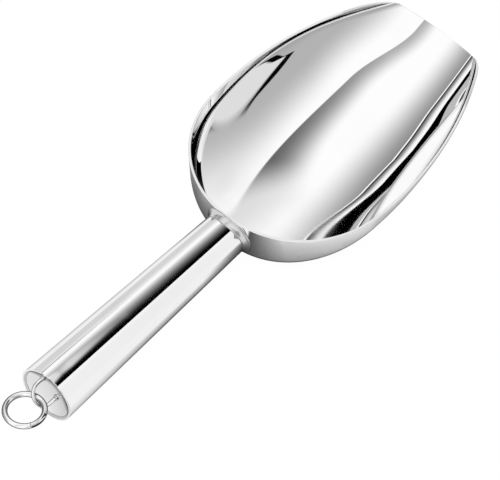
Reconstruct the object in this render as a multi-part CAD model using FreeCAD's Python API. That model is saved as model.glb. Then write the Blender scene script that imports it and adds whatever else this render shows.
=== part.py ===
import FreeCAD, Part
import math
import os

# Ice scoop with a deep-drawn bowl, a hollow handle and a hanging ring.
# Millimetres. The shapes are drawn with the handle's axis on the X axis and
# the tail's end at x = 0; +X runs toward the bowl's lip and +Z is up. Every
# finished solid is then moved so that the origin is the bottom centre of the
# whole scoop's bounding box.

# bowl, seen from above (outer sizes at the rim)
BACK_X = 99.6            # rear of the rim, on the centre line
WIDE_X = 148.0           # station where the bowl is widest
HALF_WIDTH = 42.2
BACK_RADIUS = 48.0       # rear arc of the rim
SHOULDER_RADIUS = 41.0   # arc between the rear and the side
SIDE_RADIUS = 136.0      # long side arc that narrows toward the lip
LIP_X = 222.8            # middle of the lip
LIP_RADIUS = 62.0        # arc of the lip
CORNER_RADIUS = 13.0     # rounded corners of the lip

# bowl, seen from the side and in section
RIM_Z = 10.5             # flat rim above the handle's axis
DIP_X = 202.0            # the rim starts to dip toward the lip here
DIP_RADIUS = 60.0
SHEET = 1.0              # sheet thickness
DRAFT = math.radians(4.0)
WALL_RADIUS = 5.0        # inner radius between wall and floor
FLOOR_Z = -10.6          # inner floor on the centre line, at the rear
LIP_Z = 3.3              # inner floor at the middle of the lip
CLIMB = 3.6              # power of the floor's rise from the rear to the lip
REAR_CURVE = 0.0100      # cross curvature of the floor at the rear, 1/mm
LIP_CURVE = 0.0235       # the same at the lip

# handle
TAIL_RADIUS = 12.0
NECK_RADIUS = 9.05       # outer radius where the axis meets the bowl
TUBE_WALL = 0.8
WELD_RADIUS = 2.4        # concave bead round the neck

# end cap, its seam, and the hanging hardware
CAP_DEPTH = 3.4          # how far the dished cap sinks at its centre
CAP_SHEET = 0.8
CAP_SET = 0.5            # cap edge behind the tube's end, filled by the seam
LOOP_WIRE = 1.4          # wire diameter
LOOP_REACH = 5.3         # wire centre beyond the tail's end
LOOP_SPREAD = 4.7        # half distance between the legs' centres
LOOP_OFFSET = 1.2        # loop's middle from the handle's axis
LOOP_ROLL = 48.0         # degrees, left leg higher
FOOT_RADIUS = 1.25       # weld bead round each foot
RING_WIRE = 2.3
RING_ROLL = -4.0         # degrees, left side lower
RING_RADIUS = 7.5        # wire centre
RING_PLAY = 0.05         # gap between ring and loop wires
RING_JOINT = -121.0      # where the ring's wire ends meet, degrees
RING_JOINT_GAP = 0.12

# blanks that the pieces are cut from reach past the finished edges
PLUG_TOP = 46.0
PLUG_BOTTOM = -24.0
PLUG_FRONT = 223.4
MARGIN = 10.0
FLOOR_SECTIONS = 12      # sections lofted into the floor
SECTION_REACH = 0.94     # widest a section may be, as part of its radius
NEAR = 0.1               # tolerance for telling edges apart


def vec(x, y, z=0.0):
    return FreeCAD.Vector(x, y, z)


def polar(centre, radius, degrees):
    turn = math.radians(degrees)
    return centre + vec(radius * math.cos(turn), radius * math.sin(turn))


def arc(centre, radius, start, end):
    """Horizontal arc about centre between two angles in degrees."""
    circle = Part.Circle(centre, vec(0, 0, 1), radius)
    return Part.Arc(circle, math.radians(start), math.radians(end)).toShape()


def nested_centre(first, first_radius, second, second_radius, radius, turn):
    """Centre of an arc tangent inside two others; turn picks the side."""
    from_first = first_radius - radius
    from_second = second_radius - radius
    link = second - first
    span = link.Length
    along = (from_first ** 2 - from_second ** 2 + span ** 2) / (2 * span)
    across = turn * math.sqrt(from_first ** 2 - along ** 2)
    unit = link.normalize()
    return first + unit * along + vec(-unit.y, unit.x) * across


def side_centre():
    return vec(WIDE_X, HALF_WIDTH - SIDE_RADIUS)


def mirrored(point):
    return vec(point.x, -point.y, point.z)


def angle_of(point, centre):
    return math.degrees(math.atan2(point.y - centre.y, point.x - centre.x))


def plan_wire(grow, level):
    """Closed bowl outline at one height, grown outward by grow."""
    lift = vec(0, 0, level)
    side = side_centre()
    rear = vec(BACK_X + BACK_RADIUS, 0)
    shoulder = nested_centre(side, SIDE_RADIUS, rear, BACK_RADIUS, SHOULDER_RADIUS, 1)
    rear_end = angle_of(shoulder, rear)
    side_end = angle_of(shoulder, side)
    side_radius = SIDE_RADIUS + grow
    shoulder_radius = SHOULDER_RADIUS + grow
    front = math.degrees(math.acos((PLUG_FRONT - WIDE_X) / side_radius))
    first = polar(side, side_radius, front) + lift
    edges = [
        arc(side + lift, side_radius, front, side_end),
        arc(shoulder + lift, shoulder_radius, side_end, rear_end),
        arc(rear + lift, BACK_RADIUS + grow, rear_end, 360 - rear_end),
        arc(mirrored(shoulder) + lift, shoulder_radius, -rear_end, -side_end),
        arc(mirrored(side) + lift, side_radius, -side_end, -front),
        Part.makeLine(mirrored(first), first),
    ]
    return Part.Wire(edges)


def plug(grow):
    """Tall drafted block with the bowl's outline."""
    levels = [PLUG_BOTTOM, PLUG_TOP]
    wires = [plan_wire(grow + (z - RIM_Z) * math.tan(DRAFT), z) for z in levels]
    return Part.makeLoft(wires, True, True)


def along_bowl(x):
    """0 at the rear of the bowl, 1 at the lip."""
    return max((x - BACK_X) / (LIP_X - BACK_X), 0.0)


def floor_height(x):
    """Inner floor on the centre line: level at the rear, then curving up."""
    return FLOOR_Z + (LIP_Z - FLOOR_Z) * along_bowl(x) ** CLIMB


def floor_curve(x):
    """Cross curvature of the floor, growing from the rear to the lip."""
    return REAR_CURVE + (LIP_CURVE - REAR_CURVE) * along_bowl(x)


def under_floor(grow):
    """Everything below the trough-shaped floor, lowered by grow."""
    sections = []
    first = BACK_X - MARGIN
    last = LIP_X + 2 * MARGIN
    base = PLUG_BOTTOM - 3 * MARGIN
    for step in range(FLOOR_SECTIONS):
        x = first + step * (last - first) / (FLOOR_SECTIONS - 1)
        radius = 1 / floor_curve(x) + grow
        bottom = floor_height(x) - grow
        wide = min(HALF_WIDTH + MARGIN, SECTION_REACH * radius)
        high = bottom + radius - math.sqrt(radius ** 2 - wide ** 2)
        left = vec(x, wide, high)
        low = vec(x, wide, base)
        edges = [
            Part.Arc(left, vec(x, 0, bottom), mirrored(left)).toShape(),
            Part.makeLine(mirrored(left), mirrored(low)),
            Part.makeLine(mirrored(low), low),
            Part.makeLine(low, left),
        ]
        sections.append(Part.Wire(edges))
    return Part.makeLoft(sections, True, False)


def lump(grow):
    """Block with drafted wall, trough floor and the rounding between."""
    body = plug(grow).cut(under_floor(grow)).Solids[0]
    chain = []
    for edge in body.Edges:
        box = edge.BoundBox
        if box.ZMax > PLUG_TOP - NEAR:
            continue
        if box.XMin > PLUG_FRONT - NEAR:
            continue
        chain.append(edge)
    return body.makeFillet(WALL_RADIUS + grow, chain)


def lip_keeper():
    """Prism that holds everything behind the lip's outline."""
    lip = vec(LIP_X - LIP_RADIUS, 0)
    side = side_centre()
    corner = nested_centre(side, SIDE_RADIUS, lip, LIP_RADIUS, CORNER_RADIUS, -1)
    side_end = angle_of(corner, side)
    lip_end = angle_of(corner, lip)
    touch = polar(side, SIDE_RADIUS, side_end)
    far = vec(touch.x, HALF_WIDTH + MARGIN)
    rear = vec(BACK_X - MARGIN, far.y)
    outline = [
        arc(lip, LIP_RADIUS, -lip_end, lip_end),
        arc(corner, CORNER_RADIUS, lip_end, side_end),
        Part.makeLine(touch, far),
        Part.makeLine(far, rear),
        Part.makeLine(rear, mirrored(rear)),
        Part.makeLine(mirrored(rear), mirrored(far)),
        Part.makeLine(mirrored(far), mirrored(touch)),
        arc(mirrored(corner), CORNER_RADIUS, -side_end, -lip_end),
    ]
    face = Part.Face(Part.Wire(outline))
    face.translate(vec(0, 0, PLUG_BOTTOM))
    return face.extrude(vec(0, 0, RIM_Z - PLUG_BOTTOM))


def rim_keeper():
    """Prism below the rim, which is flat and then dips toward the lip."""
    wide = HALF_WIDTH + MARGIN
    rear = BACK_X - MARGIN
    front = LIP_X + MARGIN
    centre = vec(DIP_X, wide, RIM_Z - DIP_RADIUS)
    turn = math.asin((front - DIP_X) / DIP_RADIUS)
    start = vec(DIP_X, wide, RIM_Z)
    middle = centre + vec(math.sin(turn / 2), 0, math.cos(turn / 2)) * DIP_RADIUS
    end = centre + vec(math.sin(turn), 0, math.cos(turn)) * DIP_RADIUS
    low_front = vec(front, wide, PLUG_BOTTOM)
    low_rear = vec(rear, wide, PLUG_BOTTOM)
    top_rear = vec(rear, wide, RIM_Z)
    outline = [
        Part.makeLine(top_rear, start),
        Part.Arc(start, middle, end).toShape(),
        Part.makeLine(end, low_front),
        Part.makeLine(low_front, low_rear),
        Part.makeLine(low_rear, top_rear),
    ]
    return Part.Face(Part.Wire(outline)).extrude(vec(0, -2 * wide, 0))


def make_bowl(outer):
    """Sheet bowl: outer block less inner block, cut at the rim and lip."""
    shell = outer.cut(lump(-SHEET))
    return shell.common(lip_keeper()).common(rim_keeper()).Solids[0]


def cone(start, end, grow):
    """Handle's taper between two stations, grown outward by grow."""
    slope = (NECK_RADIUS - TAIL_RADIUS) / BACK_X
    first = TAIL_RADIUS + slope * start + grow
    last = TAIL_RADIUS + slope * end + grow
    return Part.makeCone(first, last, end - start, vec(start, 0), vec(1, 0, 0))


def make_tube(outer):
    """Tapered tube, its front end shaped to the bowl's back wall."""
    reach = BACK_X + 2 * MARGIN
    tube = cone(0, reach, 0).cut(cone(-MARGIN, reach + MARGIN, -TUBE_WALL))
    parts = tube.cut(outer).Solids
    return min(parts, key=lambda solid: solid.BoundBox.XMin)


def make_neck_weld(outer):
    """Concave bead between the tube and the bowl's back wall."""
    handle = cone(BACK_X - MARGIN, BACK_X + MARGIN, 0)
    joined = handle.fuse(outer).removeSplitter()
    reach = NECK_RADIUS + 5 * NEAR
    corner = []
    for edge in joined.Edges:
        box = edge.BoundBox
        if box.XMin < BACK_X - MARGIN / 2:
            continue
        if max(-box.YMin, box.YMax, box.ZMax) > reach:
            continue
        corner.append(edge)
    rounded = joined.makeFillet(WELD_RADIUS, corner)
    bead = rounded.cut(handle).cut(outer)
    return max(bead.Solids, key=lambda solid: solid.Volume)


def dish_sphere(depth):
    """Ball whose surface is the cap's dish, sunk to depth on the axis."""
    edge = TAIL_RADIUS - TUBE_WALL
    radius = (edge ** 2 + CAP_DEPTH ** 2) / (2 * CAP_DEPTH)
    return Part.makeSphere(radius + depth - CAP_DEPTH, vec(CAP_DEPTH - radius, 0))


def make_cap():
    """Dished disc inside the tube's tail."""
    disc = cone(CAP_SET, MARGIN, -TUBE_WALL)
    disc = disc.common(dish_sphere(CAP_DEPTH + CAP_SHEET))
    return disc.cut(dish_sphere(CAP_DEPTH)).Solids[0]


def make_cap_seam(cap):
    """Polished seam that fills the step between tube end and cap."""
    fill = cone(0, CAP_SET, -TUBE_WALL).cut(dish_sphere(CAP_DEPTH))
    return fill.cut(cap).Solids[0]


def loop_path():
    """Centre line of the staple before its roll about the X axis."""
    left = LOOP_OFFSET + LOOP_SPREAD
    right = LOOP_OFFSET - LOOP_SPREAD
    turn = LOOP_SPREAD - LOOP_REACH
    deep = CAP_DEPTH + CAP_SHEET
    middle = vec(-LOOP_REACH, LOOP_OFFSET)
    edges = [
        Part.makeLine(vec(deep, left), vec(turn, left)),
        Part.Arc(vec(turn, left), middle, vec(turn, right)).toShape(),
        Part.makeLine(vec(turn, right), vec(deep, right)),
    ]
    return Part.Wire(edges)


def rolled(shape):
    shape.rotate(vec(0, 0), vec(1, 0, 0), LOOP_ROLL)
    return shape


def make_loop():
    """Bent wire staple whose two ends stand on the dished cap."""
    start = vec(CAP_DEPTH + CAP_SHEET, LOOP_OFFSET + LOOP_SPREAD)
    circle = Part.Circle(start, vec(1, 0, 0), LOOP_WIRE / 2)
    profile = Part.Wire([circle.toShape()])
    wire = loop_path().makePipeShell([profile], True, True)
    return rolled(wire).common(dish_sphere(CAP_DEPTH)).Solids[0]


def dish_depth(out):
    """How far the dish lies inside the tail at a distance from the axis."""
    edge = TAIL_RADIUS - TUBE_WALL
    radius = (edge ** 2 + CAP_DEPTH ** 2) / (2 * CAP_DEPTH)
    return CAP_DEPTH - radius + math.sqrt(radius ** 2 - out ** 2)


def make_foot_welds(loop):
    """Small round beads where the staple's ends meet the cap."""
    beads = []
    for side in (LOOP_SPREAD, -LOOP_SPREAD):
        out = LOOP_OFFSET + side
        ball = Part.makeSphere(FOOT_RADIUS, vec(dish_depth(out), out))
        bead = rolled(ball).common(dish_sphere(CAP_DEPTH)).cut(loop)
        beads.append(bead.Solids[0])
    return Part.makeCompound(beads)


def ring_centre():
    """Ring's centre: its wire sits inside the bend of the loop."""
    touch = -LOOP_REACH + (LOOP_WIRE + RING_WIRE) / 2 + RING_PLAY
    roll = math.radians(LOOP_ROLL)
    side = LOOP_OFFSET * math.cos(roll)
    rise = LOOP_OFFSET * math.sin(roll)
    return vec(touch - RING_RADIUS, side, rise)


def make_ring():
    """Round-wire ring, its two ends meeting at a butt joint."""
    half_gap = math.degrees(RING_JOINT_GAP / 2 / RING_RADIUS)
    centre = ring_centre()
    begin = polar(centre, RING_RADIUS, RING_JOINT + half_gap)
    radial = begin - centre
    tangent = vec(-radial.y, radial.x)
    circle = Part.Circle(begin, tangent, RING_WIRE / 2)
    face = Part.Face(Part.Wire([circle.toShape()]))
    ring = face.revolve(centre, vec(0, 0, 1), 360 - 2 * half_gap)
    ring.rotate(centre, vec(1, 0, 0), RING_ROLL)
    return ring


def frame_shift():
    """Move that puts the origin at the bounding box's bottom centre."""
    tip = ring_centre().x - RING_RADIUS - RING_WIRE / 2
    return vec(-(LIP_X + tip) / 2, 0, TAIL_RADIUS)


def main():
    outer = lump(0.0)
    cap = make_cap()
    loop = make_loop()
    nodes = {
        "bowl": make_bowl(outer),
        "handle_tube": make_tube(outer),
        "neck_weld": make_neck_weld(outer),
        "end_cap": cap,
        "end_cap_seam": make_cap_seam(cap),
        "hanging_loop": loop,
        "loop_foot_welds": make_foot_welds(loop),
        "hanging_ring": make_ring(),
    }
    os.makedirs("parts", exist_ok=True)
    for name, shape in nodes.items():
        shape.translate(frame_shift())
        shape.exportStep("parts/" + name + ".step")


main()
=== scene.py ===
import math

import bpy
from mathutils import Matrix, Vector


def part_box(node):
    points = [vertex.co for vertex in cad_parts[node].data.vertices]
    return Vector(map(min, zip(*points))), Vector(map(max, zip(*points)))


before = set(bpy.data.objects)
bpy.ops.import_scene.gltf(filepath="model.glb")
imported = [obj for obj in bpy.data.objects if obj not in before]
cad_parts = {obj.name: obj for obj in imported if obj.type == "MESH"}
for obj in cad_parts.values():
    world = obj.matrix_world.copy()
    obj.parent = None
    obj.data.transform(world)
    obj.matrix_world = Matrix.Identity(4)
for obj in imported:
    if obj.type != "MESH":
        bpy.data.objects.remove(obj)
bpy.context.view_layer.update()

# camera: a long lens from the left rear, looking down; lengths in metres
CAMERA_AZIMUTH = math.radians(-50.0)
CAMERA_ELEVATION = math.radians(54.7)
CAMERA_ROLL = math.radians(2.2)
CAMERA_DISTANCE = 4.0426
CAMERA_LENS = 777.6
AIM = Vector((0.00194, -0.00868, 0.0120))

# looks: colour as linear light, lengths in metres
DISPLAY_GAMMA = 2.2
STEEL_TINT = (0.985, 0.985, 0.985)
WELD_TINT = (0.72, 0.72, 0.73)
SEAM_TINT = (0.70, 0.70, 0.71)
EDGE_ROUND = 0.00025
CORNER_ANGLE = math.radians(28.0)
SMUDGE_SCALE = 45.0
GRAIN_SCALE = 900.0
WORN_ROUGHNESS = 0.06
WORN_SHADE = 0.03
CLOUD_SHADE = 0.03
# painted shade: how dark and how wide the painted outline is where the steel turns away from the eye
PAINTED_OUTLINE_SHADE = 0.88
PAINTED_OUTLINE_WIDTH = 0.32

# the bowl's inner surface, in metres, as it is drawn in the CAD
BOWL_LOW, BOWL_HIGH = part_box("bowl")
BACK_RADIUS = 0.048
SHOULDER_RADIUS = 0.041
SIDE_RADIUS = 0.136
WIDEST_FROM_REAR = 0.0484
SHEET = 0.001
DRAFT = math.radians(4.0)
WALL_RADIUS = 0.005
FLOOR_LOW = 0.0014
FLOOR_RISE = 0.0139
FLOOR_CLIMB = 3.6
REAR_CURVE = 10.0
EXTRA_CURVE = 13.5

# pale paper under the scoop
FLOOR_HALF = 3.0
FLOOR_PAPER = (0.66, 0.66, 0.66, 1.0)
FLOOR_GLOW = 1.09
FLOOR_GLOW_SHARE = 0.88
MIRROR_GLOW = 0.95
# painted shade: to mirrors the floor's glow darkens near the scoop, and more under the bowl
PAINTED_SHADE_REACH = 0.020
PAINTED_SHADE_UNDER_BOWL = 2.6
PAINTED_SHADE_BASE = 0.5

# the mirrored room: brightness as displayed, places in degrees from straight up
CARD_CURL = 112.0
CARD_BEND_END = 30.0
CARD_SHIFT = -15.3
CARD_REAR_RISE = 13.0
CARD_SOFTNESS = 0.4
ROOM_SHADE = 0.30
FAR_SHADE = 0.46
PANEL_LEVEL = 0.87
PANEL_SURROUND = 0.66
FRAME_DARK = 0.93
RIB_LEVEL = 0.76
RIB_SWING = 0.20
FLAG_DARK = 0.97
FLAG_STRIP_DARK = 0.8
DARKEST = 0.02


class Field:
    """A number in a shader, so that formulas can be written plainly."""

    def __init__(self, tree, socket):
        self.tree = tree
        self.socket = socket

    def _math(self, operation, other=None, swap=False):
        node = self.tree.nodes.new("ShaderNodeMath")
        node.operation = operation
        slots = [0, 1]
        if swap:
            slots = [1, 0]
        self.tree.links.new(self.socket, node.inputs[slots[0]])
        if isinstance(other, Field):
            self.tree.links.new(other.socket, node.inputs[slots[1]])
        elif other is not None:
            node.inputs[slots[1]].default_value = other
        return Field(self.tree, node.outputs[0])

    def __add__(self, other):
        return self._math("ADD", other)

    def __radd__(self, other):
        return self._math("ADD", other)

    def __sub__(self, other):
        return self._math("SUBTRACT", other)

    def __rsub__(self, other):
        return self._math("SUBTRACT", other, True)

    def __mul__(self, other):
        return self._math("MULTIPLY", other)

    def __rmul__(self, other):
        return self._math("MULTIPLY", other)

    def __truediv__(self, other):
        return self._math("DIVIDE", other)

    def __rtruediv__(self, other):
        return self._math("DIVIDE", other, True)

    def power(self, exponent):
        return self._math("POWER", exponent)

    def at_least(self, other):
        return self._math("MAXIMUM", other)

    def at_most(self, other):
        return self._math("MINIMUM", other)

    def arccos(self):
        return self._math("ARCCOSINE")

    def absolute(self):
        return self._math("ABSOLUTE")

    def sine(self):
        return self._math("SINE")

    def cosine(self):
        return self._math("COSINE")

    def ramp(self, start, end, smooth=True):
        """0 at start, 1 at end, either way round."""
        node = self.tree.nodes.new("ShaderNodeMapRange")
        node.interpolation_type = "SMOOTHSTEP" if smooth else "LINEAR"
        node.clamp = True
        self.tree.links.new(self.socket, node.inputs["Value"])
        for name, bound in (("From Min", start), ("From Max", end)):
            if isinstance(bound, Field):
                self.tree.links.new(bound.socket, node.inputs[name])
            else:
                node.inputs[name].default_value = bound
        return Field(self.tree, node.outputs["Result"])

    def toward(self, other, share):
        """self where share is 0, other where it is 1."""
        return self + (other - self) * share


def card_edge(across):
    """Where the overhead card ends, as a height along for each place across."""
    bend = across.at_most(26.1) * -1.0 + CARD_BEND_END
    rise = across.ramp(8.0, -11.0) * CARD_REAR_RISE
    return CARD_CURL / bend + CARD_SHIFT + rise


def card_and_room(across, along):
    """Overhead card that is dark at its edge, and the room that greys off past it."""
    beyond = along - card_edge(across)
    clearing = 19.0 + across * 0.15
    inside = beyond.ramp(clearing, -1.0)
    darkest = 0.66 - 0.0105 * across.at_least(-2.0) - 0.0035 * (across - 15.0).at_least(0.0)
    faint = across.ramp(26.1, 22.6)
    card = 1.0 - (1.0 - darkest) * inside * (0.2 + 0.8 * faint)
    start = across * 0.5 - 9.5
    end = across * 1.0 - 44.0
    room = 1.0 - ROOM_SHADE * beyond.ramp(start, end)
    level = room.toward(card, beyond.ramp(-CARD_SOFTNESS, CARD_SOFTNESS))
    return level * (1.0 - FAR_SHADE * along.ramp(30.0, 68.0) * along.ramp(110.0, 90.0))


def frame_distance(across, along):
    """Degrees past the inner edge of the panel's frame."""
    turn = along + 19.9
    line = turn * (turn * (turn * 3.6e-5 - 0.0015) + 0.2006) + 20.3
    drop = (along + 53.0).at_most(0.0)
    past_high = across - line
    past_low = across - drop * drop * 0.0085 - 12.0
    return past_high.toward(past_low, along.ramp(-52.6, -53.4))


def add_panel(level, across, along):
    """Pale panel on the right, with a thin dark frame along two sides."""
    inner = frame_distance(across, along)
    panel = inner.ramp(0.0, 0.3) * along.ramp(8.0, 6.0)
    level = level.toward(PANEL_SURROUND, along.ramp(-53.0, -60.0))
    level = level.toward(PANEL_LEVEL, panel)
    half_width = 0.10 + 0.35 * along.ramp(-36.0, -49.0)
    line = (inner + half_width).absolute().ramp(half_width * 1.2, half_width * 0.8)
    line = line * along.ramp(-29.0, -39.0) * along.ramp(-78.0, -70.0)
    return level * (1.0 - FRAME_DARK * line)


def add_ribs(level, across, along):
    """The room's far wall on the left, with soft stripes."""
    ribs = RIB_LEVEL + RIB_SWING * (along * 0.9 - across * 0.1).sine()
    return level.toward(ribs, along.ramp(86.0, 89.0) * across.ramp(44.0, 36.0))


def add_handle_sky(level, across, along):
    """Steeper strip of sky that only the tapered handle mirrors."""
    low_side = -6.5 - 0.70 * across
    smudge_wear_and_painted_outline = 1.0 - 1.13 * along.ramp(33.0, low_side, False)
    clear = 1.0 - 0.06 * along.ramp(-18.0, -46.0)
    sky = clear.toward(smudge_wear_and_painted_outline.at_least(DARKEST), (along - low_side).ramp(-0.35, 0.35))
    sky = sky * (1.0 - 0.17 * along.ramp(34.0, 62.0))
    return level.toward(sky, across.ramp(28.4, 28.9))


def add_flag(level, across, along):
    """Black flag low on the left, between thin bright and dark strips."""
    past_peak = (across - 26.0).at_least(0.0)
    sink = 3.6 * across.ramp(22.8, 26.0, False) + (4.7 * past_peak * past_peak).at_most(17.0)
    above = along - (73.4 - 2.0 * across.ramp(20.0, 12.0) - sink)
    below = (81.3 - 6.0 * across.ramp(23.0, 13.0) - 14.0 * across.ramp(27.1, 28.5)) - along
    beside = across.ramp(32.0, 31.0)
    haze = 0.45 + 0.50 * above.ramp(-7.5, -2.6) - 0.22 * below.ramp(0.5, -0.5)
    level = level.toward(haze, above.ramp(-8.4, -8.2) * below.ramp(-5.2, -5.0) * beside)
    bright = above.ramp(-10.0, -9.7) * above.ramp(-8.5, -8.8)
    bright = bright.at_least(above.ramp(-2.4, -1.8) * above.ramp(0.0, -0.3))
    bright = bright.at_least(below.ramp(-5.0, -5.2) * below.ramp(-6.4, -6.1))
    level = level.toward(1.0, bright * beside)
    dark = above.ramp(-8.7, -8.4) * above.ramp(-7.3, -7.8) * FLAG_STRIP_DARK
    dark = dark.at_least(above.ramp(-0.1, 0.4) * below.ramp(-0.1, 0.4) * FLAG_DARK)
    dark = dark.at_least(below.ramp(-6.3, -6.5) * below.ramp(-7.4, -7.1) * FLAG_STRIP_DARK)
    return level * (1.0 - dark * beside)


def studio_level(across, along):
    """Brightness of the room, 0 to 1 as displayed.

    across and along are degrees from straight up, toward +X and toward +Y.
    """
    level = card_and_room(across, along)
    level = add_panel(level, across, along)
    level = add_ribs(level, across, along)
    level = add_handle_sky(level, across, along)
    level = add_flag(level, across, along)
    return level.at_least(DARKEST)


def studio_light():
    """World that the metal reflects: a room with cards, strips and panels."""
    world = bpy.data.worlds.new("studio")
    bpy.context.scene.world = world
    world.use_nodes = True
    tree = world.node_tree
    tree.nodes.clear()
    coords = tree.nodes.new("ShaderNodeTexCoord")
    split = tree.nodes.new("ShaderNodeSeparateXYZ")
    tree.links.new(coords.outputs["Generated"], split.inputs[0])
    x, y, z = [Field(tree, out) for out in split.outputs]
    flat = (x * x + y * y).power(0.5).at_least(1e-5)
    tilt = z.at_least(-1.0).at_most(1.0).arccos() * math.degrees(1)
    level = studio_level(tilt * x / flat, tilt * y / flat)
    colour = level.power(DISPLAY_GAMMA)
    path = tree.nodes.new("ShaderNodeLightPath")
    seen = Field(tree, path.outputs["Is Camera Ray"])
    strength = colour.toward(x * 0.0 + 1.0, seen)
    back = tree.nodes.new("ShaderNodeBackground")
    tree.links.new(strength.socket, back.inputs["Color"])
    out = tree.nodes.new("ShaderNodeOutputWorld")
    tree.links.new(back.outputs[0], out.inputs["Surface"])


def floor_material():
    """Pale paper: white to the camera; to mirrors its glow carries painted shade near the scoop, deepest
    under the bowl.
    """
    material = bpy.data.materials.new("pale_floor")
    material.use_nodes = True
    tree = material.node_tree
    tree.nodes.clear()
    path = tree.nodes.new("ShaderNodeLightPath")
    seen = Field(tree, path.outputs["Is Camera Ray"])
    # painted shade: ambient occlusion darkens the glow that mirrors see near the scoop
    painted_shade_probe = tree.nodes.new("ShaderNodeAmbientOcclusion")
    painted_shade_probe.samples = 10
    painted_shade_probe.inputs["Distance"].default_value = PAINTED_SHADE_REACH
    unshaded_share = Field(tree, painted_shade_probe.outputs["AO"])
    place = tree.nodes.new("ShaderNodeSeparateXYZ")
    geometry = tree.nodes.new("ShaderNodeNewGeometry")
    tree.links.new(geometry.outputs["Position"], place.inputs[0])
    deeper_shade_under_bowl = Field(tree, place.outputs[0]).ramp(-0.105, -0.01)
    mirrored_with_painted_shade = unshaded_share.power(deeper_shade_under_bowl * PAINTED_SHADE_UNDER_BOWL + PAINTED_SHADE_BASE) * MIRROR_GLOW
    level = mirrored_with_painted_shade.toward(seen * FLOOR_GLOW, seen)
    glow = tree.nodes.new("ShaderNodeEmission")
    tree.links.new(level.socket, glow.inputs["Strength"])
    diffuse = tree.nodes.new("ShaderNodeBsdfDiffuse")
    diffuse.inputs["Color"].default_value = FLOOR_PAPER
    mix = tree.nodes.new("ShaderNodeMixShader")
    mix.inputs[0].default_value = FLOOR_GLOW_SHARE
    tree.links.new(diffuse.outputs[0], mix.inputs[1])
    tree.links.new(glow.outputs[0], mix.inputs[2])
    out = tree.nodes.new("ShaderNodeOutputMaterial")
    tree.links.new(mix.outputs[0], out.inputs["Surface"])
    return material


def make_floor():
    corners = [(-1, -1, 0), (1, -1, 0), (1, 1, 0), (-1, 1, 0)]
    mesh = bpy.data.meshes.new("floor")
    mesh.from_pydata([Vector(corner) * FLOOR_HALF for corner in corners], [], [(0, 1, 2, 3)])
    floor = bpy.data.objects.new("floor", mesh)
    bpy.context.scene.collection.objects.link(floor)
    mesh.materials.append(floor_material())


def make_flag():
    """Small black card beside the ring, which only mirrors can see."""
    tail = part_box("handle_tube")[0]
    near = tail.x - 0.022
    far = tail.x + 0.003
    side = tail.y - 0.0085
    low = 0.002
    high = 0.017
    corners = [(near, side, low), (far, side, low), (far, side, high), (near, side, high)]
    mesh = bpy.data.meshes.new("flag")
    mesh.from_pydata(corners, [], [(0, 1, 2, 3)])
    flag = bpy.data.objects.new("flag", mesh)
    bpy.context.scene.collection.objects.link(flag)
    material = bpy.data.materials.new("black_flag")
    material.use_nodes = True
    shader = material.node_tree.nodes["Principled BSDF"]
    shader.inputs["Base Color"].default_value = (0.004, 0.004, 0.004, 1.0)
    shader.inputs["Roughness"].default_value = 0.9
    shader.inputs["Specular IOR Level"].default_value = 0.0
    mesh.materials.append(material)
    flag.visible_camera = False
    flag.visible_shadow = False
    flag.visible_diffuse = False


def noise(tree, vector, scale, detail):
    """Field of cloudy noise, 0 to 1."""
    node = tree.nodes.new("ShaderNodeTexNoise")
    tree.links.new(vector, node.inputs["Vector"])
    node.inputs["Scale"].default_value = scale
    node.inputs["Detail"].default_value = detail
    return Field(tree, node.outputs[0])


def edge_wear(tree):
    """Rounded normal at the edges, and a field that is 1 on a worn edge."""
    bevel = tree.nodes.new("ShaderNodeBevel")
    bevel.samples = 6
    bevel.inputs["Radius"].default_value = EDGE_ROUND
    geometry = tree.nodes.new("ShaderNodeNewGeometry")
    dot = tree.nodes.new("ShaderNodeVectorMath")
    dot.operation = "DOT_PRODUCT"
    tree.links.new(bevel.outputs[0], dot.inputs[0])
    tree.links.new(geometry.outputs["Normal"], dot.inputs[1])
    worn = Field(tree, dot.outputs["Value"]).ramp(0.97, 0.80)
    return bevel.outputs[0], worn


def dot(first, second):
    return first[0] * second[0] + first[1] * second[1] + first[2] * second[2]


def unit(vector):
    length = dot(vector, vector).power(0.5)
    return [part / length for part in vector]


def blended(first, second, share):
    return first + (second - first) * share


def shoulder_centre():
    """Centre of the arc between the rear and the side of the bowl."""
    rear = Vector((BOWL_LOW.x + BACK_RADIUS, 0.0))
    side = Vector((BOWL_LOW.x + WIDEST_FROM_REAR, BOWL_HIGH.y - SIDE_RADIUS))
    from_side = SIDE_RADIUS - SHOULDER_RADIUS
    from_rear = BACK_RADIUS - SHOULDER_RADIUS
    link = rear - side
    span = link.length
    along = (from_side ** 2 - from_rear ** 2 + span ** 2) / (2 * span)
    across = math.sqrt(from_side ** 2 - along ** 2)
    link.normalize()
    return rear, side, side + link * along + Vector((-link.y, link.x)) * across


def bowl_wall(x, y, z):
    """Distance from the inner wall, and the wall's inward normal."""
    rear, side, shoulder = shoulder_centre()
    left = y.absolute()
    turn = y / left.at_least(1e-7)
    to_rear = shoulder - rear
    to_side = shoulder - side
    off_x = x - shoulder.x
    off_y = left - shoulder.y
    is_rear = (off_y * to_rear.x - off_x * to_rear.y).ramp(0.0, 1e-7)
    is_side = (off_y * to_side.x - off_x * to_side.y).ramp(0.0, -1e-7)
    radius = blended(is_rear * (BACK_RADIUS - SHOULDER_RADIUS) + SHOULDER_RADIUS, SIDE_RADIUS, is_side)
    centre_x = blended(is_rear * (rear.x - shoulder.x) + shoulder.x, side.x, is_side)
    centre_y = blended(is_rear * (rear.y - shoulder.y) + shoulder.y, side.y, is_side)
    out_x = x - centre_x
    out_y = left - centre_y
    out = (out_x * out_x + out_y * out_y).power(0.5)
    inner = radius - SHEET + (z - BOWL_HIGH.z) * math.tan(DRAFT)
    distance = (inner - out) * math.cos(DRAFT)
    level = -math.cos(DRAFT)
    normal = [out_x / out * level, out_y / out * turn * level, x * 0.0 + math.sin(DRAFT)]
    return distance, normal


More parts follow.
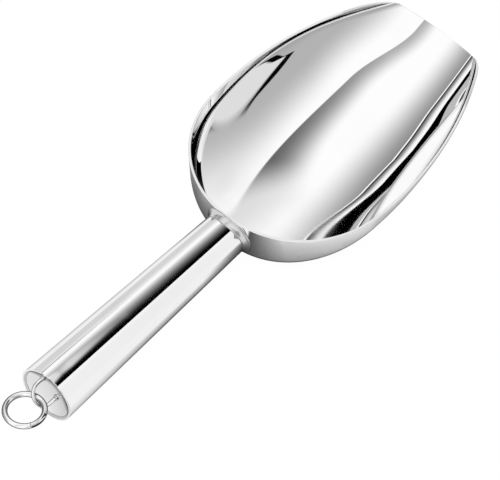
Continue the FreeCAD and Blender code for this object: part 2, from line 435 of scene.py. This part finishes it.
def bowl_floor(x, y, z):
    """Distance above the trough-shaped floor, and the floor's normal."""
    length = BOWL_HIGH.x - BOWL_LOW.x
    part = ((x - BOWL_LOW.x) / length).at_least(1e-4)
    curve = part * EXTRA_CURVE + REAR_CURVE
    bend = curve * y
    chord = (1.0 - bend * bend).at_least(0.01).power(0.5)
    sag = (1.0 - chord) / curve
    height = part.power(FLOOR_CLIMB) * FLOOR_RISE + FLOOR_LOW + sag
    climb = part.power(FLOOR_CLIMB - 1.0) * (FLOOR_RISE * FLOOR_CLIMB / length)
    twist = (y * y / chord - sag / curve) * (EXTRA_CURVE / length)
    normal = unit([(climb + twist) * -1.0, bend / chord * -1.0, x * 0.0 + 1.0])
    return (z - height) * normal[2], normal


def bowl_normal(tree, mesh_normal):
    """Exact normal of the bowl's inner surface, which mirrors need.

    Floor and wall follow their formulas and the rounding rolls from one to
    the other. Everywhere else the mesh keeps its own normal.
    """
    coords = tree.nodes.new("ShaderNodeTexCoord")
    split = tree.nodes.new("ShaderNodeSeparateXYZ")
    tree.links.new(coords.outputs["Object"], split.inputs[0])
    x, y, z = [Field(tree, out) for out in split.outputs]
    above, floor = bowl_floor(x, y, z)
    inside, wall = bowl_wall(x, y, z)
    facing = dot(floor, wall)
    corner = facing.arccos()
    from_wall = (1.0 - inside / WALL_RADIUS).at_least(facing).at_most(1.0)
    from_floor = (1.0 - above / WALL_RADIUS).at_least(facing).at_most(1.0)
    near_floor = corner - from_wall.arccos()
    near_wall = from_floor.arccos()
    rolled = blended(near_floor, near_wall, (near_floor / corner).ramp(0.35, 0.75))
    sideways = unit([wall[axis] - floor[axis] * facing for axis in range(3)])
    cosine = rolled.cosine()
    sine = rolled.sine()
    exact = [floor[axis] * cosine + sideways[axis] * sine for axis in range(3)]
    split_mesh = tree.nodes.new("ShaderNodeSeparateXYZ")
    tree.links.new(mesh_normal, split_mesh.inputs[0])
    mesh = [Field(tree, out) for out in split_mesh.outputs]
    agree = dot(exact, mesh).ramp(0.86, 0.95)
    joined = tree.nodes.new("ShaderNodeCombineXYZ")
    mixed = unit([blended(mesh[axis], exact[axis], agree) for axis in range(3)])
    for axis in range(3):
        tree.links.new(mixed[axis].socket, joined.inputs[axis])
    return joined.outputs[0]


def steel(name, tint, roughness, smudge, grain, stretch=(1.0, 1.0, 1.0), shape=None, painted_outline_from=0.62):
    """Polished steel: smudged roughness, fine grain, slightly worn edges.

    Its colour darkens into a painted dark outline (painted shade) where it turns away from the eye, from
    the given share on.
    """
    material = bpy.data.materials.new(name)
    material.use_nodes = True
    tree = material.node_tree
    shader = tree.nodes["Principled BSDF"]
    coords = tree.nodes.new("ShaderNodeTexCoord")
    mapping = tree.nodes.new("ShaderNodeMapping")
    mapping.inputs["Scale"].default_value = stretch
    tree.links.new(coords.outputs["Object"], mapping.inputs["Vector"])
    place = mapping.outputs[0]
    cloud = noise(tree, coords.outputs["Object"], SMUDGE_SCALE, 3.0)
    fine = noise(tree, place, GRAIN_SCALE, 2.0)
    rounded, worn = edge_wear(tree)
    rough = roughness + smudge * cloud.ramp(0.45, 0.75) + WORN_ROUGHNESS * worn
    tree.links.new(rough.socket, shader.inputs["Roughness"])
    smudge_wear_and_painted_outline = 1.0 - CLOUD_SHADE * cloud.ramp(0.40, 0.80) + WORN_SHADE * worn
    view = tree.nodes.new("ShaderNodeLayerWeight")
    view.inputs["Blend"].default_value = 0.5
    away = Field(tree, view.outputs["Facing"])
    # painted shade: the colour darkens toward the outline, standing in for dark reflections at grazing
    # angles
    smudge_wear_and_painted_outline = smudge_wear_and_painted_outline * (1.0 - PAINTED_OUTLINE_SHADE * away.ramp(painted_outline_from, painted_outline_from + PAINTED_OUTLINE_WIDTH))
    tone = tree.nodes.new("ShaderNodeVectorMath")
    tone.operation = "SCALE"
    tone.inputs[0].default_value = tint
    tree.links.new(smudge_wear_and_painted_outline.socket, tone.inputs["Scale"])
    tree.links.new(tone.outputs[0], shader.inputs["Base Color"])
    bump = tree.nodes.new("ShaderNodeBump")
    bump.inputs["Distance"].default_value = grain
    tree.links.new(fine.socket, bump.inputs["Height"])
    if shape:
        rounded = shape(tree, rounded)
    tree.links.new(rounded, bump.inputs["Normal"])
    tree.links.new(bump.outputs[0], shader.inputs["Normal"])
    shader.inputs["Metallic"].default_value = 1.0
    return material


def smooth_piece(piece):
    """Shade the piece smoothly, with hard edges only at real corners."""
    mesh = piece.data
    stale = mesh.attributes.get("custom_normal")
    if stale:
        mesh.attributes.remove(stale)
    for polygon in mesh.polygons:
        polygon.use_smooth = True
    weld = piece.modifiers.new("join", "WELD")
    weld.merge_threshold = 1e-6
    split = piece.modifiers.new("corners", "EDGE_SPLIT")
    split.split_angle = CORNER_ANGLE
    split.use_edge_sharp = False


def dress(node, material):
    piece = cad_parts[node]
    smooth_piece(piece)
    piece.data.materials.clear()
    piece.data.materials.append(material)


def make_camera():
    """Camera on a long lens at the given direction from the aim point."""
    azimuth = CAMERA_AZIMUTH
    elevation = CAMERA_ELEVATION
    level = math.cos(elevation)
    back = Vector((math.sin(azimuth) * level, -math.cos(azimuth) * level, math.sin(elevation)))
    right = Vector((math.cos(azimuth), math.sin(azimuth), 0.0))
    up = back.cross(right)
    turned_right = right * math.cos(CAMERA_ROLL) + up * math.sin(CAMERA_ROLL)
    turned_up = up * math.cos(CAMERA_ROLL) - right * math.sin(CAMERA_ROLL)
    data = bpy.data.cameras.new("camera")
    data.lens = CAMERA_LENS
    data.clip_end = 100.0
    camera = bpy.data.objects.new("camera", data)
    bpy.context.scene.collection.objects.link(camera)
    turn = Matrix((turned_right, turned_up, back)).transposed()
    camera.matrix_world = Matrix.Translation(AIM + back * CAMERA_DISTANCE) @ turn.to_4x4()
    bpy.context.scene.camera = camera


def main():
    studio_light()
    make_floor()
    make_flag()
    drawn = steel("drawn_steel", STEEL_TINT, roughness=0.012, smudge=0.02, grain=2e-8, shape=bowl_normal)
    capped = steel("capped_steel", STEEL_TINT, roughness=0.012, smudge=0.02, grain=2e-8)
    turned = steel("turned_steel", STEEL_TINT, roughness=0.02, smudge=0.03, grain=4e-8, stretch=(4, 1, 1))
    # the wire starts its painted dark outline earlier, so it is wider
    wire = steel("wire_steel", STEEL_TINT, roughness=0.03, smudge=0.03, grain=1e-7, painted_outline_from=0.16)
    bead = steel("weld_steel", WELD_TINT, roughness=0.16, smudge=0.10, grain=2e-6)
    seam = steel("seam_steel", SEAM_TINT, roughness=0.20, smudge=0.10, grain=2e-6)
    dress("bowl", drawn)
    dress("handle_tube", turned)
    dress("end_cap", capped)
    dress("end_cap_seam", seam)
    dress("hanging_loop", wire)
    dress("hanging_ring", wire)
    dress("neck_weld", bead)
    dress("loop_foot_welds", bead)
    make_camera()
    bpy.context.scene.view_settings.view_transform = "Standard"


main()
